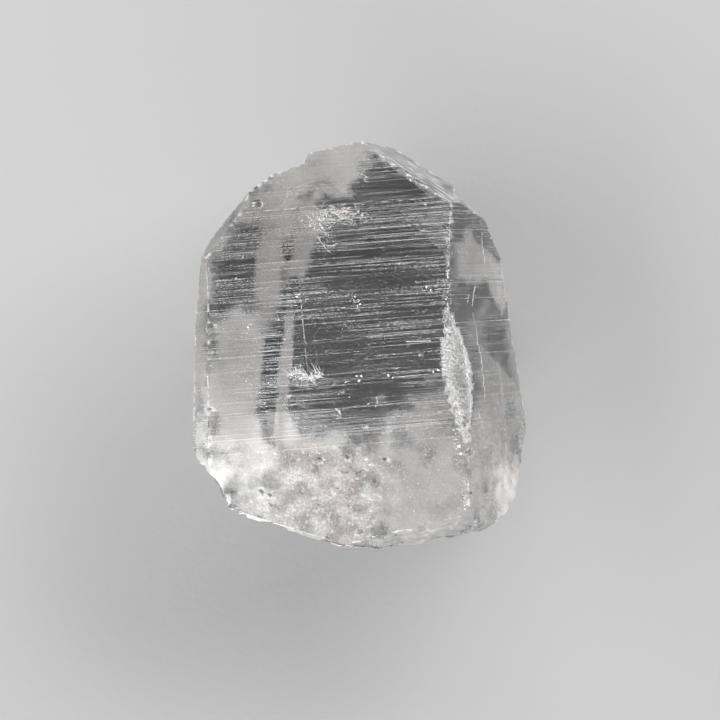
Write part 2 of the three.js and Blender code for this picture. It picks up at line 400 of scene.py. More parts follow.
# %% Cut the risers, then the grid
STRAIGHT_DOWN = -0.99
pairs = sorted(place + side * RISER / 2 for place in ledges for side in (-1, 1))
cut_rows(shape, ALONG, pairs, [f for f in shape.faces if f.normal.z > STRAIGHT_DOWN])
cut_rows(shape, ACROSS, steps(*across_span, GRID), shape.faces[:])
cut_rows(shape, UP, steps(0, FRONT_Z, GRID), shape.faces[:])
print("faces after the cuts:", len(shape.faces))

# %% [markdown]
# ## A finer mesh where the edge was crushed
#
# The front right edge took a knock. Its crumbs are smaller than the grid, so the faces there
# are cut a second time, closer together. The oval below also steers the white bruise later.

# %% Cut the bruised faces more finely
BRUISE_AT = Vector((12.5, -3.4, 25.3)) * MM
BRUISE_LEAN = math.radians(7.4)
BRUISE_SIDE = Vector((math.cos(BRUISE_LEAN), math.sin(BRUISE_LEAN), 0))
BRUISE_LENGTH = Vector((-math.sin(BRUISE_LEAN), math.cos(BRUISE_LEAN), 0))
# How far the bruise reaches sideways, up and down the edge, and how pointed its ends are.
BRUISE_REACH = {"side": 2.0 * MM, "up": 8.0 * MM, "down": 9.6 * MM, "deep": 1.5 * MM}
BRUISE_POINTED = 1.4
CRUMB = 0.22 * MM
CRUMBS_REACH = 3.2 * MM
# In the bruise's own measure, the crumbs fade out up to here, and the finer cuts go a bit on.
CRUMBS_END = 1.1
CRUMBS_FADE = 0.4
CUTS_END = 1.2


def bruise_distance(point):
    """0 in the middle of the bruise and 1 on its rim, which comes to a point at each end."""
    offset = point - BRUISE_AT
    side = abs(offset.dot(BRUISE_SIDE)) / BRUISE_REACH["side"]
    along = offset.dot(BRUISE_LENGTH)
    length = abs(along) / BRUISE_REACH["down" if along < 0 else "up"]
    flat = (side**BRUISE_POINTED + length**BRUISE_POINTED) ** (1 / BRUISE_POINTED)
    return flat + max(0, abs(offset.z) - BRUISE_REACH["deep"]) / MM


near_bruise = [f for f in shape.faces if bruise_distance(f.calc_center_median()) < CUTS_END]
bruise_middle = BRUISE_AT.dot(ACROSS)
crumb_cuts = steps(bruise_middle - CRUMBS_REACH, bruise_middle + CRUMBS_REACH, CRUMB)
cut_rows(shape, ACROSS, crumb_cuts, near_bruise)
bmesh.ops.triangulate(shape, faces=shape.faces[:])
print("triangles after the cuts:", len(shape.faces))

# %% [markdown]
# ## Raising the fine relief
#
# Every point moves a little along its own normal. On the prism faces it drops by its
# ledge's depth, which fades in and out from left to right. On the break it follows layers of
# noise, large shells first and crumbs last. On the crushed strip it jumps about.

# %% Give each ledge a depth, and let it fade sideways
LEDGE_DEPTH = 0.085 * MM
LEDGE_FADE = 13 * MM
# Nearer to the break than this, the faces have no ledges.
CALM_BELOW = -12.5 * MM
depths = [LEDGE_DEPTH * rng.random() ** 1.5 for _ in range(len(ledges) + 1)]
phases = [rng.uniform(0, 60) for _ in range(len(ledges) + 1)]


def eased(value, low, high):
    """0 below low, 1 above high, and a smooth rise between."""
    t = max(0.0, min(1.0, (value - low) / (high - low)))
    return t * t * (3 - 2 * t)


def ledge_depth(point, ledge):
    """How far that ledge lies below the face at point."""
    across = point.dot(ACROSS)
    fade = eased(noise.noise((across / LEDGE_FADE, phases[ledge], 0)), -0.35, 0.2)
    calm = eased(point.dot(ALONG), CALM_BELOW - 1.5 * MM, CALM_BELOW + 1 * MM)
    return depths[ledge] * fade * calm


# %% Choose how far each kind of surface is raised
# How large the forms of each surface are, and how far they move it.
LUMPS = {"size": 3.1 * MM, "height": 0.34 * MM}
RIPPLES = {"size": 0.55 * MM, "bend": 4 * MM, "height": 0.035 * MM}
TIP_WAVES = {"size": 2.6 * MM, "height": 0.05 * MM}
CALM_WAVES = {"size": 1.4 * MM, "height": 0.05 * MM}
CRUSHED = {"size": 0.34 * MM, "height": 0.24 * MM}


def broken_relief(point):
    """Lumps, crossed by the ripples of shell-shaped flakes."""
    lumps = noise.turbulence(point / LUMPS["size"], 3, False) - 0.5
    bend = noise.noise(point / RIPPLES["bend"])
    ripples = math.sin(point.length / RIPPLES["size"] + 6 * bend)
    return LUMPS["height"] * lumps + RIPPLES["height"] * ripples


def crushed_relief(point):
    """Sharp crumbs."""
    return (noise.turbulence(point / CRUSHED["size"], 2, True) - 0.6) * CRUSHED["height"]


def relief(point, kind):
    """How far a point of that kind of face moves along its normal."""
    if kind == "broken":
        return broken_relief(point)
    if kind == "tip":
        return TIP_WAVES["height"] * noise.noise(point / TIP_WAVES["size"])
    along = point.dot(ALONG)
    waves = eased(CALM_BELOW - along, 0, 2 * MM) * noise.noise(point / CALM_WAVES["size"])
    return CALM_WAVES["height"] * waves - ledge_depth(point, bisect_right(ledges, along))


# %% Move the points
shape.normal_update()
shape.faces.ensure_lookup_table()
kinds = [KINDS[face[kind_layer]] for face in shape.faces]
kind_of = dict(zip(shape.faces, kinds))
print({kind: kinds.count(kind) for kind in KINDS})
moves = []
for vert in shape.verts:
    around_it = [kind_of[f] for f in vert.link_faces]
    kind = "broken" if "broken" in around_it else max(KINDS, key=around_it.count)
    hurt = eased(CRUMBS_END - bruise_distance(vert.co), 0, CRUMBS_FADE)
    out = relief(vert.co, kind) * (1 - hurt) + crushed_relief(vert.co) * hurt
    if kind == "back":
        out = min(out, 0)
    moves.append((vert, vert.co + vert.normal * out))
print("largest move in mm:", round(max((p - v.co).length for v, p in moves) / MM, 3))
for vert, moved in moves:
    vert.co = moved
    vert.co.z = max(0, moved.z)

# %% [markdown]
# ## Telling the material where it is
#
# Numbers stored on the mesh steer the finish. Satin is how matt a face grew or broke. Riser
# marks the fine steps, which get some roughness and a painted white glint. It is stored on
# each corner of a facet, so that it fades smoothly along a step and still stops dead at its
# edges. Ledged is how many of the finest hairlines a face has, which are too fine to model,
# and so how much painted glint they carry. The point wore down unevenly, so its left, right
# and lower facets have a satin of their own, and the right ones are streaked.

# %% Choose how satin each face is, and how bright each step's painted glint is
SATIN = {
    "front": 0.0,
    "left": 0.35,
    "back_left": 0.42,
    "back": 0.0,
    "back_right": 0.35,
    "right": 0.2,
    "broken": 0.6,
}
LEDGED = {
    "front": 1.0,
    "left": 0.6,
    "right": 0.8,
    "tip": 0.7,
    "back_left": 0.1,
    "back_right": 0.3,
}
# Where the point's left facets end, and its right and lower ones begin, by azimuth.
TIP_LEFT_TO = -30
TIP_RIGHT_FROM = 30
TIP_UNDER_FROM = 95
TIP_SATIN = {"left": 0.6, "front": 0.15, "right": 0.35, "under": 0.2}
# Strong ledges get a painted glint on the front face, and the one nearest the point the strongest.
STRONG_FROM_Z = 24 * MM
STRONG_GLINT = 0.5
TOP_GLINT = 0.9
BUNCH = 2.1 * MM


def tip_part(azimuth):
    """Which part of the point a facet belongs to."""
    if azimuth < TIP_LEFT_TO:
        return "left"
    if azimuth > TIP_UNDER_FROM:
        return "under"
    return "right" if azimuth > TIP_RIGHT_FROM else "front"


def riser_strength(corner, lower):
    """How strongly the step above ledge number lower shows at a corner, as roughness and a painted
    white glint.
    """
    drop = ledge_depth(corner, lower + 1) - ledge_depth(corner, lower)
    strong = 0.0
    if ledges[lower] in STRONG_LEDGES and corner.z > STRONG_FROM_Z:
        strong = TOP_GLINT if ledges[lower] == STRONG_LEDGES[-1] else STRONG_GLINT
    bunched = eased(noise.noise((ledges[lower] / BUNCH, 5.1, 0)), -0.35, 0.3)
    return min(1.0, strong + abs(drop) / LEDGE_DEPTH * (0.6 + 1.3 * bunched))


def step_below(centre):
    """The number of the ledge whose riser this facet is, or None on a tread."""
    at = centre.dot(ALONG)
    nearest = bisect_right(ledges, at)
    for lower in (nearest - 1, nearest):
        if 0 <= lower < len(ledges) and abs(ledges[lower] - at) < RISER * 0.49:
            return lower
    return None


# %% [markdown]
# ## Clouds of milk and painted glow
#
# Milky quartz is quartz full of tiny bubbles. It comes up to the surface in clouds, and here
# and there a clear patch breaks them open. These clouds are partly that milk and partly
# painted light: their white also stands for the glow of lit faces seen through the glass, on
# the left, near the point, at the break and on the right. Each cloud is an oval. A point's
# nearness is 1 in its middle and one half on its rim, and the material later draws a ragged
# rim through the halves. Each oval is worked out for all points at once, as one sum on a
# NumPy array.

# %% Lay out the clouds
# Clouds of milk and painted glow: middle and half widths in mm, turn in degrees, how white
# they are, and how much softer than most their rim is.
MILK_AND_GLOW_CLOUDS = [
    {"at": (-6.0, 25.2, 20), "reach": (10.0, 5.3), "turn": 42, "white": 0.37},
    {"at": (-12.8, 17.4, 24), "reach": (4.8, 3.7), "turn": 0, "white": 0.27},
    {"at": (-19.5, 14.2, 17), "reach": (5.9, 2.0), "turn": 59, "white": 0.27},
    {"at": (-8.1, 13.0, 25), "reach": (5.6, 1.6), "turn": 75, "white": 0.28},
    {"at": (-12.8, 9.6, 25), "reach": (7.7, 1.9), "turn": 88, "white": 0.3},
    {"at": (-16.9, -4.5, 25), "reach": (10.1, 3.3), "turn": 90, "white": 0.38},
    {"at": (-17.0, -10.4, 25), "reach": (4.5, 3.0), "turn": 90, "white": 0.62, "soft": 2},
    {"at": (-10.5, -3.7, 25), "reach": (9.6, 0.8), "turn": 86, "white": 0.34},
    {"at": (-21.9, 1.9, 17), "reach": (19.0, 1.8), "turn": 86, "white": 0.33},
    {"at": (-22.2, -9.5, 15), "reach": (8.0, 2.0), "turn": 90, "white": 0.6, "soft": 2},
    {"at": (-16.5, -13.3, 24), "reach": (4.5, 2.2), "turn": 0, "white": 0.75, "soft": 2},
    {"at": (-14.6, -16.4, 23), "reach": (6.4, 5.6), "turn": 0, "white": 0.95, "soft": 2},
    {"at": (-6.1, -21.5, 22), "reach": (11.5, 7.5), "turn": 0, "white": 0.6, "soft": 1.4},
    {"at": (-8.5, -14.8, 25), "reach": (5.8, 2.8), "turn": 0, "white": 0.55, "soft": 1.6},
    {"at": (8.2, -19.6, 22), "reach": (10.5, 8.0), "turn": 0, "white": 0.47, "soft": 1.6},
    {"at": (9.6, -11.2, 25), "reach": (4.8, 3.2), "turn": 70, "white": 0.25, "soft": 3},
    {"at": (14.6, 11.3, 21), "reach": (3.2, 2.6), "turn": 90, "white": 0.34, "soft": 1.5},
    {"at": (18.4, 8.4, 14), "reach": (4.2, 1.7), "turn": 115, "white": 0.45, "soft": 1.5},
    {"at": (17.5, -6.5, 15), "reach": (10.5, 3.8), "turn": 94, "white": 0.2, "soft": 2},
    {"at": (21.7, -5.7, 8), "reach": (11.3, 1.2), "turn": 97, "white": 0.3},
    {"at": (19.6, -19.8, 15), "reach": (4.5, 2.9), "turn": 90, "white": 0.8},
    {"at": (16.0, -14.7, 20), "reach": (6.7, 2.4), "turn": 90, "white": 0.34, "soft": 2},
    {"at": (5.6, 24.3, 19), "reach": (8.0, 1.6), "turn": -38, "white": 0.24},
]
# Clear patches in them, which go right through: middle, half widths and turn.
CLEAR = [
    {"at": (-15.9, 13.1), "reach": (4.8, 1.9), "turn": 59},
    {"at": (-18.0, 6.8), "reach": (1.9, 2.1), "turn": 0},
    {"at": (-9.3, 7.6), "reach": (1.2, 1.5), "turn": 0},
    {"at": (-10.0, 12.6), "reach": (0.9, 1.6), "turn": 0},
    {"at": (-11.9, 0.1), "reach": (4.3, 1.1), "turn": 78},
    {"at": (-12.8, -7.8), "reach": (5.3, 1.1), "turn": 90},
    {"at": (18.1, 1.5), "reach": (3.7, 1.5), "turn": 95},
    {"at": (13.2, 6.3), "reach": (2.4, 1.5), "turn": 90},
    {"at": (20.3, -9.2), "reach": (1.6, 0.9), "turn": 90},
    {"at": (15.2, -1.6), "reach": (1.9, 0.8), "turn": 90},
    {"at": (-14.3, 18.8), "reach": (0.9, 0.8), "turn": 0},
    {"at": (5.9, 21.6), "reach": (4.5, 1.9), "turn": -30},
]
# Smooth places on the front, where the hairlines and steps, with their painted glints, hardly
# show.
SMOOTH = [
    {"at": (-4.5, -0.8), "reach": (5.2, 3.0), "turn": 3},
    {"at": (0.7, -7.6), "reach": (6.0, 2.0), "turn": 3},
    {"at": (0.5, 8.3), "reach": (8.0, 1.2), "turn": 5, "soft": 1.6},
    {"at": (6.0, 21.0), "reach": (3.0, 1.4), "turn": -30, "soft": 1.6},
]
# How far in mm a cloud reaches above and below its middle.
CLOUD_DEPTH = 10
NEAREST_FIRST = 6


def nearness(places, at, reach, turn, white=1.0, soft=1.0):
    """How near each point, in mm, is to the middle of an oval."""
    offset = places[:, : len(at)] - np.array(at)
    cos, sin = math.cos(math.radians(turn)), math.sin(math.radians(turn))
    far = ((offset[:, 0] * cos + offset[:, 1] * sin) / reach[0]) ** 2
    far += ((offset[:, 1] * cos - offset[:, 0] * sin) / reach[1]) ** 2
    if len(at) == 3:
        far += (offset[:, 2] / CLOUD_DEPTH) ** 2
    near = np.clip(1 - np.sqrt(far) / 2, 0, 1)
    return np.minimum(0.5 + (near - 0.5) / soft, 2 * near)


places = np.array([vert.co for vert in shape.verts]) / MM
near = np.array([nearness(places, **cloud) for cloud in MILK_AND_GLOW_CLOUDS])
# How near the nearest cloud is: milky quartz, and painted glow of lit faces seen through the
# glass.
milky = near.max(axis=0)
# The nearest cloud counts by far the most.
share = near**NEAREST_FIRST + 1e-9
whiteness = (share * np.array([[cloud["white"]] for cloud in MILK_AND_GLOW_CLOUDS])).sum(axis=0)
whiteness /= share.sum(axis=0)
cleared = np.max([nearness(places, **patch) for patch in CLEAR], axis=0)
smooth = np.max([nearness(places, **patch) for patch in SMOOTH], axis=0)
bruised = np.array([max(0, 1 - bruise_distance(vert.co) / 2) for vert in shape.verts])
print("share of points in a cloud:", round(float((milky > 0.5).mean()), 2))

# %% [markdown]
# ## Worn edges, and a number for every facet
#
# Where two faces meet at a fair angle, the edge between them has chipped and looks white. The
# ridges of the point are worn too, where a facet beside them looks up. With that, all the
# numbers can be worked out, for each facet, corner or point, and stored under their names.

# %% Find the worn edges
WORN_ANGLE = math.radians(22)
WORN_LEAST = 0.6


def is_worn(edge):
    """True where two of the crystal's faces meet at an edge that can chip."""
    if len(edge.link_faces) != 2 or edge.calc_face_angle(0) < WORN_ANGLE:
        return False
    if max(f.normal.z for f in edge.link_faces) < 0:
        return False
    first, second = (kind_of[f] for f in edge.link_faces)
    return (first != second or first == "tip") and "back" not in (first, second)


worn = [0.0] * len(shape.verts)
shape.verts.index_update()
for edge in shape.edges:
    if is_worn(edge):
        for vert in edge.verts:
            worn[vert.index] = WORN_LEAST + (1 - WORN_LEAST) * rng.random()
print("points on worn edges:", sum(w > 0 for w in worn))

# %% Work out the numbers for each facet and corner
STEPPED = ("front", "left", "right", "back_right")
satin, broken, ledged, streaked, riser = [], [], [], [], []
for face, kind in zip(shape.faces, kinds):
    part = tip_part(facing(face.normal)[0]) if kind == "tip" else None
    satin.append(TIP_SATIN[part] if part else SATIN[kind])
    broken.append(float(kind == "broken"))
    ledged.append(0.0 if part == "under" else LEDGED.get(kind, 0.0))
    streaked.append(float(part == "right"))
    lower = step_below(face.calc_center_median()) if kind in STEPPED else None
    for loop in face.loops:
        riser.append(0.0 if lower is None else riser_strength(loop.vert.co, lower))
print("corners on risers:", sum(r > 0.2 for r in riser))

# %% Store them on the finished mesh
mesh = bpy.data.meshes.new("crystal_fine")
shape.to_mesh(mesh)
shape.free()
stored_values = {
    "FACE": {"satin": satin, "broken": broken, "ledged": ledged, "streaked": streaked},
    "CORNER": {"riser": riser},
    "POINT": {
        "milky": milky,
        "whiteness": whiteness,
        "cleared": cleared,
        "smooth": smooth,
        "crushed": bruised,
        "worn": worn,
    },
}
for domain, named in stored_values.items():
    for name, values in named.items():
        mesh.attributes.new(name, "FLOAT", domain).data.foreach_set("value", values)
crystal = bpy.data.objects.new("crystal_fine", mesh)
bpy.context.scene.collection.objects.link(crystal)
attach(crystal, "root")
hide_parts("crystal")
print("numbers stored:", len(mesh.attributes))

# %% [markdown]
# ## The crystal's finish
#
# Quartz bends light by 1.544. Its clear faces are polished, its satin faces blur what lies
# behind them, and where it is crushed or broken into crumbs it turns white, because the light
# no longer gets through. Separate materials would meet in hard lines, so one material does it
# all. It is built from masks, which run from 0 to 1. The next cells make the masks, and the
# last one feeds them to the shader.

# %% Start the quartz, with helpers for its masks
quartz, tree, quartz_out = new_material("clear_quartz")
place = node(tree, "TexCoord").outputs["Object"]


def stored(name):
    """A number stored on the mesh."""
    return node(tree, "Attribute", attribute_name=name).outputs["Fac"]


def weighted(*terms):
    """The sum of each value times its weight."""
    total = 0.0
    for value, weight in terms:
        inputs = {0: value, 1: weight, 2: total}
        total = node(tree, "Math", inputs, operation="MULTIPLY_ADD").outputs[0]
    return total


def times(*values):
    """The values multiplied together."""
    product = values[0]
    for value in values[1:]:
        product = maths(tree, "MULTIPLY", product, value)
    return product


def opposite(mask):
    """1 minus a mask."""
    return maths(tree, "SUBTRACT", 1.0, mask)


def cloudy(scale, detail):
    """Soft noise of about 1 / scale metres across."""
    inputs = {"Vector": place, "Scale": scale, "Detail": detail}
    return node(tree, "TexNoise", inputs).outputs[0]


def rim(name, noisy, ragged, soft):
    """A stored nearness turned into a mask with a ragged, more or less soft rim."""
    inputs = {0: noisy, 1: ragged, 2: stored(name)}
    nudge = node(tree, "Math", inputs, operation="MULTIPLY_ADD").outputs[0]
    middle = 0.5 + 0.5 * ragged
    return ramp(tree, nudge, middle - soft, middle + soft)


def far_along(direction):
    """How far each point lies along a direction."""
    inputs = {0: place, 1: direction}
    return node(tree, "VectorMath", inputs, operation="DOT_PRODUCT").outputs["Value"]


patches = cloudy(260.0, 3.0)
crumbs = cloudy(1300.0, 3.0)
# A fine grain that breaks the painted glints on the steps and hairlines into dots.
glint_grain = ramp(tree, cloudy(4200.0, 0.0), 0.42, 0.6, 0.25, 1.35)
along = far_along(ALONG)
across = far_along(ACROSS)
print("nodes so far:", len(tree.nodes))

# %% [markdown]
# ## Milk and painted glow, crumbs and dust
#
# The clouds laid out above, of milk and painted glow, become masks with ragged rims, and the
# clear patches are taken out of them. Above the break the milk is even. Near it the milk is
# full of small cracks, so lumps, holes and a fine grain are multiplied into a mottle, except
# to the right of the middle and where it is whitest, which stay calmer.

# %% Draw the clouds of milk and painted glow
wavy = weighted((along, 1.0), (patches, 6 * MM), (1.0, -3 * MM))
above_calm = ramp(tree, wavy, CALM_BELOW - 1.5 * MM, CALM_BELOW + 1.5 * MM)
clear_patch = rim("cleared", patches, 0.7, 0.12)
in_milk_and_glow = times(rim("milky", patches, 0.8, 0.14), opposite(clear_patch))
smooth_side = times(
    ramp(tree, across, -2 * MM, 5 * MM), ramp(tree, across, 12 * MM, 17 * MM, 1.0, 0.0)
)
whitest = ramp(tree, stored("whiteness"), 0.6, 0.95)
calmer = maths(tree, "MAXIMUM", above_calm, times(smooth_side, 0.8))
calmer = maths(tree, "MAXIMUM", calmer, times(whitest, 0.7))
print("nodes so far:", len(tree.nodes))

# %% Mottle the milk near the break
even = ramp(tree, patches, 0.3, 0.7, 0.85, 1.12)
lumps = ramp(tree, cloudy(420.0, 3.0), 0.34, 0.66, 0.62, 1.25)
holes = ramp(tree, cloudy(900.0, 3.0), 0.64, 0.72, 1.0, 0.4)
fine = ramp(tree, cloudy(3000.0, 1.0), 0.35, 0.65, 0.82, 1.15)
mottle_inputs = {"Factor": calmer, 2: times(lumps, holes, fine), 3: even}
mottle = node(tree, "Mix", mottle_inputs, data_type="FLOAT").outputs[0]
thinned = weighted((stored("broken"), -0.25), (1.0, 1.0))
# The white of the clouds: milky quartz, and painted glow of lit faces seen through the glass.
milk = times(in_milk_and_glow, stored("whiteness"), mottle, thinned)
print("nodes so far:", len(tree.nodes))

# %% Crumble the milk, dust the ledges and whiten the bruise
crumbling = times(ramp(tree, cloudy(1900.0, 2.0), 0.58, 0.7), opposite(calmer), in_milk_and_glow)
dust = times(ramp(tree, cloudy(5200.0, 1.0), 0.6, 0.72), stored("ledged"))
in_bruise = rim("crushed", crumbs, 0.55, 0.07)
grains = ramp(tree, cloudy(3600.0, 2.0), 0.4, 0.6, 0.35, 1.0)
print("nodes so far:", len(tree.nodes))

# %% [markdown]
# ## Hairlines and streaks
#
# The finest growth lines are thinner than any facet. They are noise stretched far across the
# axis and squeezed along it, so they run with the modelled ledges. They get a small bump and a
# painted white glint. Milk hides most of them, and so do the smooth places. The worn facet
# right of the point is streaked along its ridge, by noise that is turned first and stretched
# after.

# %% Draw the hairlines
HAIR_SCALE = {"X": (across, 70.0), "Y": (along, 5600.0), "Z": (far_along(UP), 90.0)}
stretched = {name: times(value, scale) for name, (value, scale) in HAIR_SCALE.items()}
hair_space = node(tree, "CombineXYZ", stretched).outputs[0]
hairs = node(tree, "TexNoise", {"Vector": hair_space, "Scale": 1.0, "Detail": 2.0}).outputs[0]
seen_in_milk = weighted((in_milk_and_glow, -0.7), (1.0, 1.0))
seen_in_smooth = weighted((rim("smooth", patches, 0.5, 0.2), -0.8), (1.0, 1.0))
quiet = times(seen_in_milk, seen_in_smooth)
hairline = times(ramp(tree, hairs, 0.5, 0.66), stored("ledged"), above_calm, quiet)
# The steps' roughness and painted white glint, quieter in the milk and the smooth places.
step_roughness_and_glint = times(stored("riser"), quiet)
print("nodes so far:", len(tree.nodes))

# %% Streak the facet beside the point
RIDGE_TURN = math.radians(35)
turn_inputs = {"Vector": place, "Angle": RIDGE_TURN}
ridge_turn = node(tree, "VectorRotate", turn_inputs, rotation_type="Z_AXIS").outputs[0]
ridge_space = node(tree, "Mapping", {"Vector": ridge_turn, "Scale": (500, 4200, 500)}).outputs[0]
streaks = node(tree, "TexNoise", {"Vector": ridge_space, "Scale": 1.0, "Detail": 1.0}).outputs[0]
streaky = times(ramp(tree, streaks, 0.42, 0.66), stored("streaked"))
print("nodes so far:", len(tree.nodes))

# %% [markdown]
# ## From masks to glass
#
# Each mask adds its share of roughness and of white. The white is chalk, and on the steps
# and hairlines a painted glint. White and milk together take the transmission away, so what
# is white is also what light doesn't pass. Only the broken and crushed parts and the
# hairlines get a bump, because the larger relief is in the mesh.

# %% Add up the roughness, the chalk with its painted glints, and the bump
satin_mask = times(
    stored("satin"), ramp(tree, patches, 0.25, 0.75, 0.7, 1.25), opposite(clear_patch)
)
grit = ramp(tree, crumbs, 0.4, 0.7)
rough = weighted(
    (satin_mask, 0.42),
    (step_roughness_and_glint, 0.3),
    (in_bruise, 0.5),
    (milk, 0.3),
    (1.0, 0.02),
)
# White on the surface: chalk of the bruise, crumbs, dust, streaks, break and worn edges, and
# painted glints on the steps and hairlines.
chalky = weighted(
    (times(in_bruise, grains), 0.62),
    (crumbling, 0.4),
    (dust, 0.16),
    (streaky, 0.3),
    (times(stored("broken"), grit), 0.22),
    (times(step_roughness_and_glint, glint_grain), 0.3),
    (times(stored("worn"), grit), 0.9),
    (times(hairline, glint_grain), 0.22),
)
clear = maths(tree, "SUBTRACT", 1.0, weighted((chalky, 1.0), (milk, 1.0)), clamp=True)
rough_parts = maths(tree, "ADD", stored("broken"), in_bruise)
grain = weighted((hairline, -0.12), (times(crumbs, rough_parts), 1.0))
bump = node(tree, "Bump", {"Height": grain, "Strength": 0.8, "Distance": 0.0003})
print("nodes so far:", len(tree.nodes))

# %% Colour the milk and its painted glow, and join the shader
QUARTZ_IOR = 1.544
ABSORB_COLOUR = (0.49, 0.5, 0.51, 1)
ABSORB_DENSITY = 40.0
GREY_MILK_AND_GLOW = (0.63, 0.61, 0.59, 1)
ROSY_MILK_AND_GLOW = (0.65, 0.6, 0.585, 1)
WHITE_MILK_AND_GLOW = (0.74, 0.73, 0.71, 1)
GLASS = (0.985, 0.985, 0.985, 1)
CHALK_AND_GLINT_WHITE = (0.86, 0.85, 0.83, 1)


def blend(factor, first, second):
    """A colour between two others."""
    inputs = {"Factor": factor, 6: first, 7: second}
    return node(tree, "Mix", inputs, data_type="RGBA", clamp_factor=True).outputs[2]


rosy = times(ramp(tree, cloudy(150.0, 1.0), 0.5, 0.68), opposite(above_calm))
# The colour of the milk and of its painted glow.
milk_and_glow_colour = blend(whitest, blend(rosy, GREY_MILK_AND_GLOW, ROSY_MILK_AND_GLOW), WHITE_MILK_AND_GLOW)
tint = blend(in_milk_and_glow, blend(chalky, GLASS, CHALK_AND_GLINT_WHITE), milk_and_glow_colour)
glass = node(
    tree,
    "BsdfPrincipled",
    {
        "Base Color": tint,
        "Roughness": rough,
        "IOR": QUARTZ_IOR,
        "Transmission Weight": clear,
        "Normal": bump.outputs[0],
    },
)
depth = node(tree, "VolumeAbsorption", {"Color": ABSORB_COLOUR, "Density": ABSORB_DENSITY})
tree.links.new(glass.outputs[0], quartz_out.inputs["Surface"])
tree.links.new(depth.outputs[0], quartz_out.inputs["Volume"])
mesh.materials.append(quartz)
print("nodes in the finish:", len(tree.nodes))

# %% [markdown]
# ## Milky veils inside
#
# Some of the milk is deep inside: old cracks that healed and trapped clouds of tiny bubbles.
# Each veil is a very flat, closed lens made from an icosphere and bent by noise. Its
# whiteness fades towards its rim and breaks up into wisps, so no hard outline shows. A search
# tree of the crystal's surface tells which points would stick out, and pulls them back in.

# %% Place the veils
VEILS = [
    {"at": (-9.5, 18.5, 19.5), "reach": (7.5, 6), "tilt": (14, -14, 20), "white": 0.45},
    {"at": (-10, -15.5, 20), "reach": (10, 6.5), "tilt": (-22, 6, 0), "white": 0.6},
    {"at": (2, -17.5, 17), "reach": (11, 6.5), "tilt": (-30, 0, 10), "white": 0.55},
    {"at": (9.5, -12, 20.5), "reach": (7, 7.5), "tilt": (-18, 12, -20), "white": 0.45},
    {"at": (-4, -12.5, 13), "reach": (11, 5), "tilt": (-40, 0, 5), "white": 0.5},
    {"at": (15.5, -13, 13), "reach": (4.5, 8), "tilt": (0, 50, 0), "white": 0.45},
    {"at": (-17.5, -8, 15), "reach": (2.5, 6), "tilt": (0, -30, 3), "white": 0.25},
]
INSIDE = 0.35 * MM
surface = BVHTree.FromObject(crystal, bpy.context.evaluated_depsgraph_get())


def kept_inside(point):
    """The point itself, or the nearest place below the crystal's surface if it isn't inside."""
    nearest, normal = surface.find_nearest(point)[:2]
    depth = (nearest - point).dot(normal)
    return point if depth > INSIDE else nearest - normal * INSIDE


def as_piece(name, made, material):
    """A finished bmesh as a piece that belongs to the crystal."""
    piece_mesh = bpy.data.meshes.new(name)
    made.to_mesh(piece_mesh)
    made.free()
    piece_mesh.materials.append(material)
    piece = bpy.data.objects.new(name, piece_mesh)
    bpy.context.scene.collection.objects.link(piece)
    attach(piece, "root")
    print(name, "triangles:", sum(len(f.vertices) - 2 for f in piece_mesh.polygons))
    return piece


def turned(tilt):
    """The turn for three angles in degrees, about X, then Y, then Z."""
    x, y, z = (math.radians(angle) for angle in tilt)
    return Matrix.Rotation(z, 4, "Z") @ Matrix.Rotation(y, 4, "Y") @ Matrix.Rotation(x, 4, "X")


# %% Shape a veil
VEIL_THICKNESS = 0.18 * MM
VEIL_BEND = 0.9 * MM
VEIL_WAVES = 1.7
VEIL_FADE = 0.55


def add_veil(made, seed, at, reach, tilt, white, detail=5):
    """Adds one veil, and returns how white each of its points is."""
    new = bmesh.ops.create_icosphere(made, subdivisions=detail, radius=1.0)["verts"]
    place = Matrix.Translation(Vector(at) * MM) @ turned(tilt)
    whiteness = []
    for vert in new:
        x, y, z = vert.co
        wobble = noise.noise(Vector((x * VEIL_WAVES, y * VEIL_WAVES, seed * 9.1)))
        from_rim = 1.0 - math.hypot(x, y)
        whiteness.append(white * eased(from_rim + 0.25 * wobble, 0.0, VEIL_FADE))
        bent = z * VEIL_THICKNESS + wobble * VEIL_BEND
        lens = Vector((x * reach[0] * MM, y * reach[1] * MM, bent))
        vert.co = kept_inside(place @ lens)
    return whiteness


# %% Mix the veils and grow them
def veil_finish():
    """White wisps that let most of the light by."""
    material, tree, out = new_material("milky_veil")
    place = node(tree, "TexCoord").outputs["Object"]
    wisps = node(
        tree,
        "TexNoise",
        {"Vector": place, "Scale": 420.0, "Detail": 9.0, "Distortion": 1.2},
    )
    thick = node(tree, "Attribute", attribute_name="white").outputs["Fac"]
    seen = maths(tree, "MULTIPLY", thick, ramp(tree, wisps.outputs[0], 0.4, 0.6), clamp=True)
    stain = node(tree, "TexNoise", {"Vector": place, "Scale": 120.0, "Detail": 2.0})
    stained = ramp(tree, stain.outputs[0], 0.5, 0.7)
    colour = node(
        tree,
        "Mix",
        {"Factor": stained, 6: (0.62, 0.6, 0.59, 1), 7: (0.64, 0.55, 0.54, 1)},
        data_type="RGBA",
    )
    milk = node(
        tree,
        "BsdfPrincipled",
        {"Base Color": colour.outputs[2], "Roughness": 0.8, "Alpha": seen},
    )
    tree.links.new(milk.outputs[0], out.inputs["Surface"])
    return material


veils = bmesh.new()
whites = [w for seed, veil in enumerate(VEILS) for w in add_veil(veils, seed, **veil)]
milky_veils = as_piece("milky_veils", veils, veil_finish())
milky_veils.data.attributes.new("white", "FLOAT", "POINT").data.foreach_set("value", whites)
for face in milky_veils.data.polygons:
    face.use_smooth = True

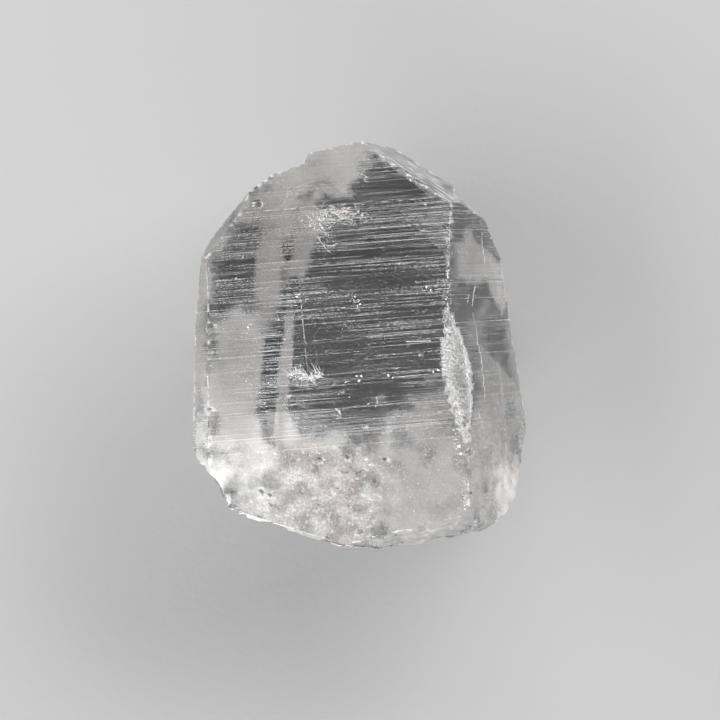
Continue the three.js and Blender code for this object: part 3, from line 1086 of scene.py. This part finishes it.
# %% [markdown]
# ## Silvery cracks near the break
#
# Where the base was knocked off, small curved cracks reach into the quartz. A thin film of air
# in each one mirrors the light. They are small flat lenses too, but nearly smooth.

# %% Open the cracks
CRACKS = {"count": 26, "low": (-16, -21, 5), "high": (17, -10, 23), "reach": (0.8, 2.8)}
# Below this height the break slopes away, so the cracks are moved along with it.
BREAK_TURNS_Z = 14
BREAK_SLOPE = 0.28
FIRST_CRACK_SEED = 40


def crack_finish():
    """A thin film of air: part mirror, part gap."""
    material, tree, out = new_material("silvery_crack")
    place = node(tree, "TexCoord").outputs["Object"]
    film = node(tree, "TexNoise", {"Vector": place, "Scale": 700.0, "Detail": 5.0})
    seen = ramp(tree, film.outputs[0], 0.4, 0.62, 0.05, 0.65)
    silver = node(
        tree,
        "BsdfPrincipled",
        {"Base Color": (0.95, 0.93, 0.92, 1), "Roughness": 0.28, "Alpha": seen},
    )
    tree.links.new(silver.outputs[0], out.inputs["Surface"])
    return material


cracks = bmesh.new()
crack_rng = random.Random(8)
for seed in range(CRACKS["count"]):
    at = [crack_rng.uniform(a, b) for a, b in zip(CRACKS["low"], CRACKS["high"])]
    at[1] += BREAK_SLOPE * max(0, BREAK_TURNS_Z - at[2])
    reach = [crack_rng.uniform(*CRACKS["reach"]) for _ in range(2)]
    tilt = [crack_rng.uniform(-60, 60) for _ in range(3)]
    add_veil(cracks, seed + FIRST_CRACK_SEED, at, reach, tilt, 1, detail=3)
as_piece("silvery_cracks", cracks, crack_finish())

# %% [markdown]
# ## White specks
#
# Small bubbles and bits of rock sit on and just under the front face. A speck is a squashed
# icosphere with twenty faces. The largest ones each have their place, and loose bands of
# finer ones are sown at random. They could be dots in the material, but then they would have
# no sides to catch the light, and nothing would lie below the face.

# %% Find the front face under a place
# A height in mm from which to look down.
ABOVE_ALL = 40


def under_front(x, y, depth=0.0):
    """The point in mm at x, y, that far below the surface as seen from above."""
    hit = surface.ray_cast(Vector((x, y, ABOVE_ALL)) * MM, Vector((0, 0, -1)))[0]
    return Vector((x, y, hit.z / MM - depth)) if hit else None


# %% Shape one speck
SPECK_ROUGHNESS = 0.12
SPECK_GRAIN = 0.2 * MM
# Vector noise starts from the time of day unless it is seeded.
noise.seed_set(20)


def tumbled():
    """A turn picked at random."""
    return turned([rng.uniform(0, 360) for _ in range(3)])


def add_speck(made, at, size):
    """Adds one angular speck, flatter one way."""
    shape = Matrix.Diagonal((size, size * rng.uniform(0.4, 0.8), size * rng.uniform(0.2, 0.5), 1))
    place = Matrix.Translation(Vector(at) * MM) @ tumbled() @ shape
    new = bmesh.ops.create_icosphere(made, subdivisions=1, radius=0.5 * MM, matrix=place)
    for vert in new["verts"]:
        uneven = noise.noise_vector(vert.co / SPECK_GRAIN)
        vert.co += SPECK_ROUGHNESS * size * MM * uneven


# %% Mix a chalky finish
def speck_finish(name, colour):
    """Chalky white with a little unevenness."""
    material, tree, out = new_material(name)
    place = node(tree, "TexCoord").outputs["Object"]
    uneven = node(tree, "TexNoise", {"Vector": place, "Scale": 2500.0, "Detail": 2.0})
    shade = node(
        tree,
        "Mix",
        {"Factor": uneven.outputs[0], 6: (*colour, 1), 7: (1, 1, 1, 1)},
        data_type="RGBA",
    )
    chalk = node(tree, "BsdfPrincipled", {"Base Color": shade.outputs[2], "Roughness": 0.5})
    tree.links.new(chalk.outputs[0], out.inputs["Surface"])
    return material


# %% Set the specks that stand alone
# Specks with a place of their own: x and y in mm, and their size.
SPECKS = [
    (-8.9, 6.3, 0.62),
    (-8.6, 6.6, 0.4),
    (-1.2, 6.3, 0.34),
    (-0.7, 5.9, 0.3),
    (-0.5, 5.3, 0.4),
    (-0.6, 4.6, 0.3),
    (-3.6, 5.0, 0.3),
    (3.7, 7.2, 0.3),
    (8.4, 7.6, 0.5),
    (8.9, 7.2, 0.42),
    (8.1, 7.1, 0.3),
    (-0.9, -4.3, 0.5),
    (-0.3, -4.3, 0.5),
    (-0.6, -4.9, 0.5),
    (-2.4, -5.1, 0.36),
    (3.3, -4.2, 0.5),
    (3.9, -4.5, 0.44),
    (4.2, -3.8, 0.36),
    (9.3, -3.7, 0.5),
    (9.9, -3.5, 0.5),
    (-3.5, -8.7, 0.34),
    (-3.2, -9.1, 0.4),
    (-3.4, -9.6, 0.3),
    (-1.9, -7.1, 0.3),
    (-3.3, -6.7, 0.28),
    (0.6, -8.0, 0.36),
    (1.6, -8.3, 0.36),
    (6.3, 22.0, 0.5),
    (8.2, 18.6, 0.42),
    (12.7, -13.6, 0.7),
    (12.9, -14.6, 0.6),
    (-13.2, -7.9, 0.4),
    (-15.4, 2.2, 0.5),
    (-15.0, 2.6, 0.36),
    (-16.1, 11.6, 0.34),
    (-17.0, 8.8, 0.34),
    (-11.8, -14.6, 0.6),
    (0.3, -15.4, 0.7),
    (0.8, -16.1, 0.5),
]
specks = bmesh.new()
for x, y, size in SPECKS:
    add_speck(specks, under_front(x, y), size)
print("specks with a place of their own:", len(SPECKS))

# %% Sow bands of finer specks
# Bands of finer specks: ends and half width in mm, depth below the front, count and size.
BANDS = [
    {"ends": ((-9, 4.4), (0.6, 1.4)), "width": 1.3, "depth": 0.0, "count": 190, "size": 0.16},
    {"ends": ((-9, -8.5), (9, -9.5)), "width": 2.5, "depth": 0.0, "count": 120, "size": 0.17},
    {"ends": ((-8, 3), (11, 10)), "width": 6, "depth": 0.0, "count": 170, "size": 0.14},
    {"ends": ((-17, -17), (14, -19)), "width": 4.5, "depth": 2.5, "count": 160, "size": 0.4},
    {"ends": ((11.6, 3), (13.4, -11.5)), "width": 2.0, "depth": 0.0, "count": 150, "size": 0.2},
    {"ends": ((-17, -15), (14, -19)), "width": 5.0, "depth": 0.0, "count": 160, "size": 0.22},
    {"ends": ((11, -12), (14, -22)), "width": 1.8, "depth": 0.3, "count": 60, "size": 0.35},
    {"ends": ((-17, 6), (-14, -9)), "width": 2.5, "depth": 0.0, "count": 90, "size": 0.2},
    {"ends": ((11.6, 17), (11.2, 4)), "width": 0.5, "depth": 0.0, "count": 120, "size": 0.24},
    {"ends": ((12.0, -10.4), (13.6, -22)), "width": 0.5, "depth": 0.0, "count": 110, "size": 0.24},
    {"ends": ((17, 4), (19, -14)), "width": 1.6, "depth": 0.0, "count": 80, "size": 0.24},
]
LOWEST_SPECK = 3


def sow(made, ends, width, depth, count, size):
    """Sows specks at random along a band on the front, or below it."""
    first, last = (Vector(end) for end in ends)
    for _ in range(count):
        spread = Vector((rng.gauss(0, width / 2), rng.gauss(0, width / 2)))
        sunk = depth * rng.uniform(0.3, 1.6)
        place = under_front(*(first.lerp(last, rng.random()) + spread), sunk)
        if place is not None and place.z > LOWEST_SPECK:
            add_speck(made, place, size * rng.uniform(0.35, 1))


for band in BANDS:
    sow(specks, **band)
as_piece("white_specks", specks, speck_finish("chalky_speck", (0.82, 0.81, 0.79)))

# %% [markdown]
# ## Needles: a feather, splinters and scratches
#
# The last marks are all thin and straight: a feather of fibres, a patch of pale and
# cream-coloured splinters where the front meets the tip, and scratches. Each is built from
# needle-thin cones that lie on the front face. A cone with four sides is enough for something
# that is a tenth of a millimetre thick.

# %% Lay a needle
TAPER = 0.15


def add_needle(made, root, tip, thickness, taper=TAPER):
    """A thin cone from root to tip."""
    direction = tip - root
    middle = Matrix.Translation((root + tip) / 2)
    turn = direction.to_track_quat("Z", "Y").to_matrix().to_4x4()
    bmesh.ops.create_cone(
        made,
        cap_ends=True,
        segments=4,
        radius1=thickness,
        radius2=thickness * taper,
        depth=direction.length,
        matrix=middle @ turn,
    )


def spray(made, at, spread, count, length, heading, thickness):
    """Needles that start near one place. heading is their mean turn and its spread, in degrees."""
    for _ in range(count):
        root = under_front(rng.gauss(at[0], spread[0]), rng.gauss(at[1], spread[1])) * MM
        turn = math.radians(rng.gauss(*heading))
        reach = Vector((math.cos(turn), math.sin(turn), rng.uniform(-0.05, 0.04)))
        tip = root + reach * rng.uniform(*length) * MM
        add_needle(made, root, tip, rng.uniform(*thickness) * MM)


# %% Spray the feather
FEATHER = [
    {"at": (-9.5, -4.1), "spread": (0.7, 0.35), "count": 30, "length": (0.5, 1.7)},
    {"at": (-8.0, -4.6), "spread": (0.8, 0.3), "count": 38, "length": (0.5, 1.9)},
    {"at": (-6.4, -4.3), "spread": (0.6, 0.3), "count": 30, "length": (0.5, 2.0)},
]
FEATHER_HEADING = (80, 75)

feather = bmesh.new()
for tuft in FEATHER:
    spray(feather, **tuft, heading=FEATHER_HEADING, thickness=(0.02, 0.045))
as_piece("feather", feather, speck_finish("feather_white", (0.68, 0.68, 0.67)))

# %% Scatter the splinters
SPLINTERS = [
    {"at": (-3.1, 17.1), "spread": (1.8, 0.8), "count": 170, "length": (0.25, 0.9)},
    {"at": (-5.0, 15.3), "spread": (0.8, 1.2), "count": 60, "length": (0.3, 1.1)},
    {"at": (-6.9, 15.9), "spread": (1.2, 0.5), "count": 40, "length": (0.3, 0.9)},
    {"at": (10.9, -0.9), "spread": (0.8, 0.5), "count": 16, "length": (0.4, 1.6)},
]
CREAM_SPLINTERS = {"at": (-2.8, 17.6), "spread": (0.9, 0.35), "count": 60, "length": (0.2, 0.5)}

pale_splinters = bmesh.new()
for patch in SPLINTERS:
    spray(pale_splinters, **patch, heading=(45, 120), thickness=(0.015, 0.04))
as_piece("pale_splinters", pale_splinters, speck_finish("pale_splinter", (0.7, 0.68, 0.65)))
cream_splinters = bmesh.new()
spray(cream_splinters, **CREAM_SPLINTERS, heading=(20, 80), thickness=(0.03, 0.06))
as_piece("cream_splinters", cream_splinters, speck_finish("cream_splinter", (0.72, 0.56, 0.46)))

# %% Draw the scratches
# Each scratch runs from point to point on the front: its half thickness and places in mm.
SCRATCHES = [
    (0.03, [(-0.6, 23.9), (0.2, 23.4), (-0.3, 22.9), (0.4, 22.5), (0.0, 22.0), (0.7, 21.7)]),
    (0.012, [(-9.4, 20.9), (-8.0, 21.5), (-6.6, 22.0)]),
    (0.012, [(-10.9, 18.4), (-10.3, 19.3), (-9.9, 20.4)]),
    (0.02, [(-14.7, 19.3), (-13.9, 19.5), (-13.5, 18.9), (-14.2, 18.6), (-14.9, 18.9)]),
    (0.05, [(5.7, 0.3), (9.0, 0.4)]),
    (0.03, [(4.6, -4.4), (8.6, -4.0)]),
    (0.05, [(-3.8, -8.6), (-3.2, -9.0), (-3.0, -9.8), (-3.7, -10.0)]),
    (0.04, [(-1.6, 6.2), (-1.2, 5.5), (-0.5, 5.8)]),
    (0.04, [(-0.7, 5.2), (-0.9, 4.6)]),
    (0.03, [(1.7, -7.0), (1.9, -8.0)]),
    (0.03, [(-6.2, 14.3), (-5.6, 13.5), (-5.0, 12.5), (-4.4, 12.2)]),
    (0.05, [(16.1, 15.1), (16.3, 13.0), (16.5, 11.0)]),
    (0.05, [(15.1, 7.9), (14.7, 5.1)]),
    (0.04, [(14.9, 4.2), (15.5, 0.5), (16.0, -2.1), (16.4, -7.6)]),
    (0.03, [(14.2, 6.8), (14.0, 5.6)]),
    (0.04, [(15.4, -9.2), (16.2, -11.6)]),
]
SCRATCH_STEP = 0.45
SCRATCH_JITTER = 0.06


def add_scratch(made, half, corners):
    """Short rods laid end to end on the surface, from corner to corner."""
    track = []
    for first, last in zip(corners, corners[1:]):
        pieces = max(1, round(math.dist(first, last) / SCRATCH_STEP))
        for i in range(pieces):
            x, y = Vector(first).lerp(Vector(last), i / pieces)
            track.append((x + rng.gauss(0, SCRATCH_JITTER), y))
    track.append(corners[-1])
    on_surface = [under_front(x, y) * MM for x, y in track]
    for root, tip in zip(on_surface, on_surface[1:]):
        add_needle(made, root, tip, half * rng.uniform(0.5, 1.2) * MM, taper=0.8)


scratches = bmesh.new()
for half, corners in SCRATCHES:
    add_scratch(scratches, half, corners)
as_piece("scratches", scratches, speck_finish("scratch_white", (0.75, 0.75, 0.74)))
